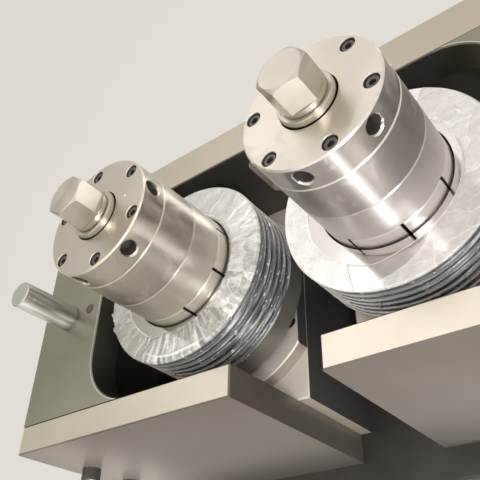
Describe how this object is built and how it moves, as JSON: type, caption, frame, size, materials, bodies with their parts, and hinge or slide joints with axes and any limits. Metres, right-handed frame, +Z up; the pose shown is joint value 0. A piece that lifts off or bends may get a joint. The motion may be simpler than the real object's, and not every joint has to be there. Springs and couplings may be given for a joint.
{
  "type": "edge rolling machine",
  "caption": "Edge rolling stand with vertical grooved rolls on sliding chocks between a rear beam and front cheeks, on a pedestal.",
  "frame": {"origin": "on the floor below the middle of the gap between the rolls", "axes": "+X across the strip, from the left roll to the right roll; +Y along the strip, towards the rear beam; +Z up"},
  "size_m": [0.932, 0.454, 1.1073],
  "materials": {
    "ground_steel": "ground",
    "turned_steel": "fine turned",
    "roll_steel": "ground and hardened",
    "pin_steel": "bright",
    "stretch_film": "clear film",
    "bronze": "turned",
    "machine_paint": "semi-gloss"
  },
  "bodies": {
    "stand": {"bed_plate": "machine_paint", "left_end_wall": "ground_steel", "left_foot": "machine_paint", "left_front_cheek": "ground_steel", "left_guide_pin": "pin_steel", "left_pedestal_side_wall": "machine_paint", "left_screw_nut": "bronze", "left_top_plate": "ground_steel", "pedestal_front_wall": "machine_paint", "pedestal_rear_wall": "machine_paint", "rear_beam": "ground_steel", "right_end_wall": "ground_steel", "right_foot": "machine_paint", "right_front_cheek": "ground_steel", "right_guide_pin": "pin_steel", "right_pedestal_side_wall": "machine_paint", "right_screw_nut": "bronze", "right_top_plate": "ground_steel"},
    "left_chock_unit": {"left_chock": "ground_steel", "left_bearing_cover": "ground_steel", "left_adjusting_screw": "turned_steel", "left_screw_keeper": "turned_steel"},
    "left_roll_unit": {"left_spindle": "turned_steel", "left_lock_nut": "ground_steel", "left_upper_spacer": "turned_steel", "left_lower_spacer": "turned_steel", "left_slotted_collar": "turned_steel", "left_grooved_roll": "roll_steel", "left_roll_film": "stretch_film"},
    "right_chock_unit": {"right_chock": "ground_steel", "right_bearing_cover": "ground_steel", "right_adjusting_screw": "turned_steel", "right_screw_keeper": "turned_steel"},
    "right_roll_unit": {"right_spindle": "turned_steel", "right_lock_nut": "ground_steel", "right_upper_spacer": "turned_steel", "right_lower_spacer": "turned_steel", "right_slotted_collar": "turned_steel", "right_grooved_roll": "roll_steel", "right_roll_film": "stretch_film"}
  },
  "joints": [
    {"name": "left_chock_slide", "type": "slide", "parent": "stand", "child": "left_chock_unit", "axis": [1, 0, 0], "range_m": [-0.017, 0.012]},
    {"name": "left_roll_spin", "type": "hinge", "parent": "left_chock_unit", "child": "left_roll_unit", "pos_m": [-0.132, 0, 0.9], "axis": [0, 0, 1], "continuous": true},
    {"name": "right_chock_slide", "type": "slide", "parent": "stand", "child": "right_chock_unit", "axis": [-1, 0, 0], "range_m": [-0.017, 0.012]},
    {"name": "right_roll_spin", "type": "hinge", "parent": "right_chock_unit", "child": "right_roll_unit", "pos_m": [0.132, 0, 0.9], "axis": [0, 0, 1], "continuous": true}
  ]
}
